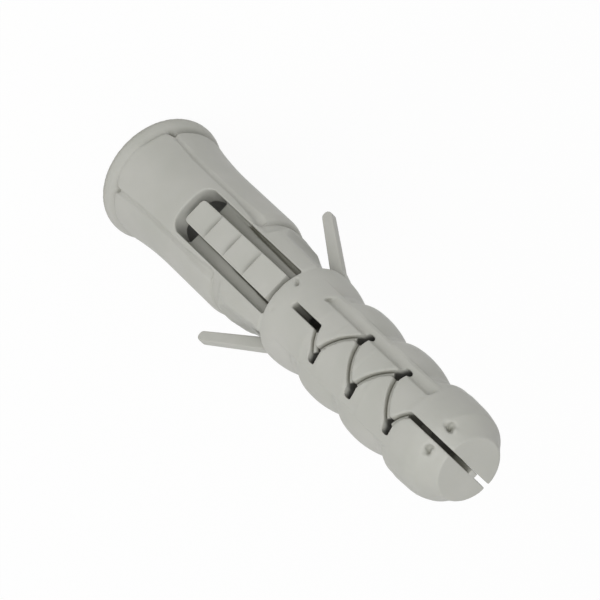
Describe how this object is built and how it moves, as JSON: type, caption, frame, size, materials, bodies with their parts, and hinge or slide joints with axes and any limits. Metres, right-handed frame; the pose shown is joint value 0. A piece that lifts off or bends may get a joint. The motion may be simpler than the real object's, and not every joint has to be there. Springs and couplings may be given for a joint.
{
  "type": "wall anchor",
  "caption": "Nylon wall plug with a flared flanged mouth, saw-toothed locking tongues in side windows, swept anti-rotation wings and lobed expansion jaws parted by a zigzag line.",
  "frame": {"origin": "centre of the collar's face, where the screw goes in; the plug stands on it", "axes": "+Z along the axis from the mouth to the tip; -Y is the front, where the front tongue faces; +X and -X are the sides with the wings"},
  "size_m": [0.0154, 0.0116, 0.0495],
  "materials": {
    "nylon": "light warm grey moulded nylon, fine matte"
  },
  "bodies": {
    "sleeve": {"collar": "nylon", "left_cheek": "nylon", "right_cheek": "nylon", "left_rail": "nylon", "right_rail": "nylon", "front_tongue_hinge": "nylon", "rear_tongue_hinge": "nylon", "crown": "nylon"},
    "front_tongue": {"front_tongue": "nylon"},
    "rear_tongue": {"rear_tongue": "nylon"},
    "left_wing": {"left_wing": "nylon"},
    "right_wing": {"right_wing": "nylon"},
    "left_jaw": {"left_jaw": "nylon"},
    "right_jaw": {"right_jaw": "nylon", "front_tear_web": "nylon", "rear_tear_web": "nylon", "tip_tie": "nylon"}
  },
  "joints": [
    {"name": "front_tongue_swing", "type": "hinge", "parent": "sleeve", "child": "front_tongue", "pos_m": [0, -0.0029, 0.0243], "axis": [-1, 0, 0], "range_deg": [0, 6], "stiffness_Nm_per_rad": 0.0002},
    {"name": "rear_tongue_swing", "type": "hinge", "parent": "sleeve", "child": "rear_tongue", "pos_m": [0, 0.0029, 0.0243], "axis": [1, 0, 0], "range_deg": [0, 6], "stiffness_Nm_per_rad": 0.0002},
    {"name": "right_wing_fold", "type": "hinge", "parent": "sleeve", "child": "right_wing", "pos_m": [0.0039, 0, 0.02402], "axis": [0, 1, 0], "range_deg": [-4, 10], "stiffness_Nm_per_rad": 0.00004},
    {"name": "left_wing_fold", "type": "hinge", "parent": "sleeve", "child": "left_wing", "pos_m": [-0.0044, 0, 0.02402], "axis": [0, -1, 0], "range_deg": [-4, 14], "stiffness_Nm_per_rad": 0.00004},
    {"name": "right_jaw_spread", "type": "hinge", "parent": "sleeve", "child": "right_jaw", "pos_m": [0.00445, 0, 0.027], "axis": [0, 1, 0], "range_deg": [0, 4], "stiffness_Nm_per_rad": 0.001},
    {"name": "left_jaw_spread", "type": "hinge", "parent": "sleeve", "child": "left_jaw", "pos_m": [-0.00445, 0, 0.027], "axis": [0, -1, 0], "range_deg": [0, 4], "stiffness_Nm_per_rad": 0.001}
  ],
  "couplings": [
    {"joint": "left_jaw_spread", "follows": "right_jaw_spread", "ratio": 1}
  ]
}
